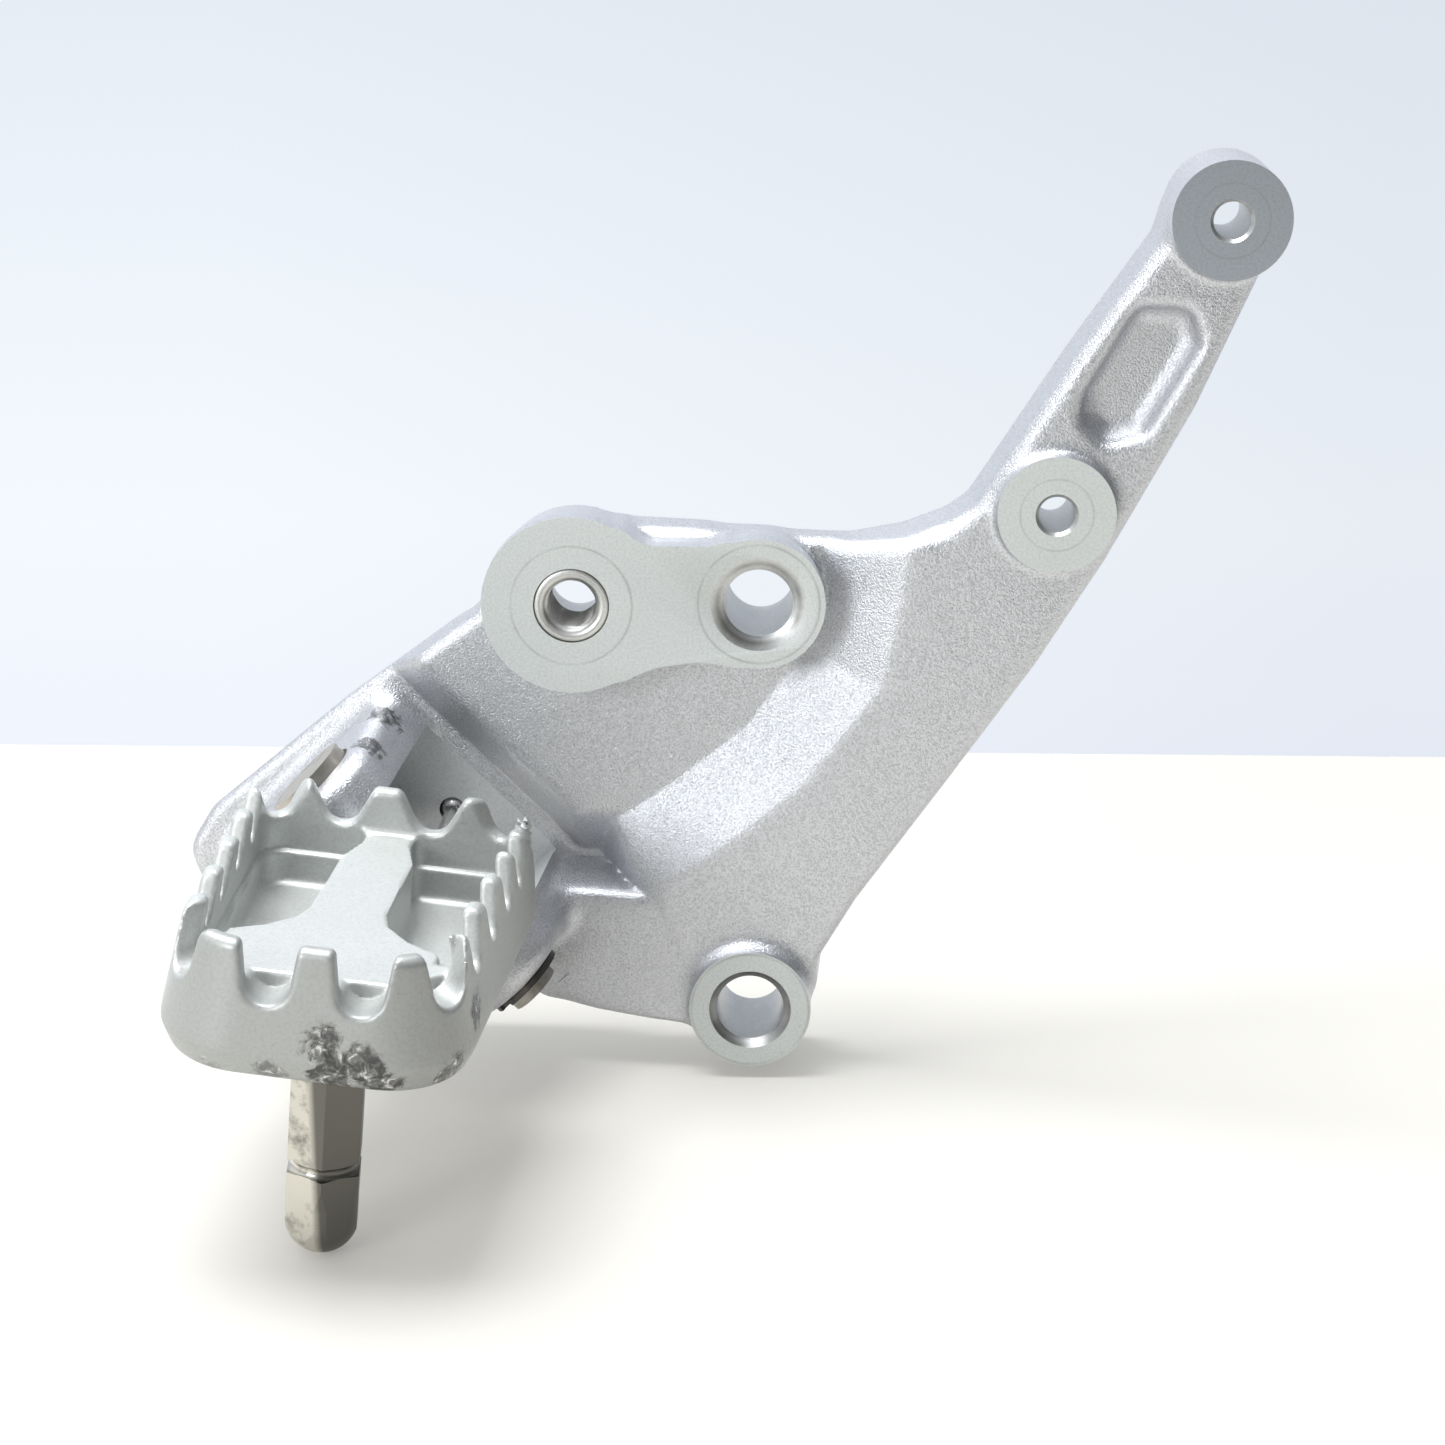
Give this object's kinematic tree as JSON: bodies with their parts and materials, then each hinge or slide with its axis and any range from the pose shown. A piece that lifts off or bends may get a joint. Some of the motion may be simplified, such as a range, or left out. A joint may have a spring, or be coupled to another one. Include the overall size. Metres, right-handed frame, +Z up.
{
  "type": "footrest hanger with folding foot peg",
  "caption": "Cast rider footrest hanger with two frame bosses, a long arm, and a folding toothed peg on a clevis pin with a lean-angle feeler under it.",
  "frame": {"origin": "centre of the through frame-bolt bore at the machined outer face of its boss", "axes": "+X along the bracket towards its long arm, +Y inboard along the frame bolts, +Z up, as the hanger stands on its feeler and its low boss"},
  "size_m": [0.2028, 0.1195, 0.174],
  "materials": {
    "bracket_paint": "silver metallic paint over bead-blasted cast aluminium, machined boss faces",
    "insert_steel": "turned and tapped steel",
    "peg_paint": "silver paint over cast aluminium, scuffed at the outer end",
    "feeler_steel": "bright steel hexagon with a turned nose",
    "pin_steel": "zinc-plated steel, dull",
    "spring_steel": "oiled spring wire",
    "washer_steel": "zinc-plated steel",
    "clip_steel": "blackened spring steel"
  },
  "bodies": {
    "hanger": {"hanger_bracket": "bracket_paint", "threaded_insert": "insert_steel", "pivot_pin": "pin_steel", "return_spring": "spring_steel", "pin_washer": "washer_steel", "e_clip": "clip_steel"},
    "peg": {"foot_peg": "peg_paint", "lean_feeler": "feeler_steel"}
  },
  "joints": [
    {"name": "peg_fold", "type": "hinge", "parent": "hanger", "child": "peg", "pos_m": [-0.0634, -0.002, -0.0532], "axis": [-0.7071, 0, 0.7071], "range_deg": [0, 48], "stiffness_Nm_per_rad": 0.35, "springref_deg": -45.84}
  ]
}
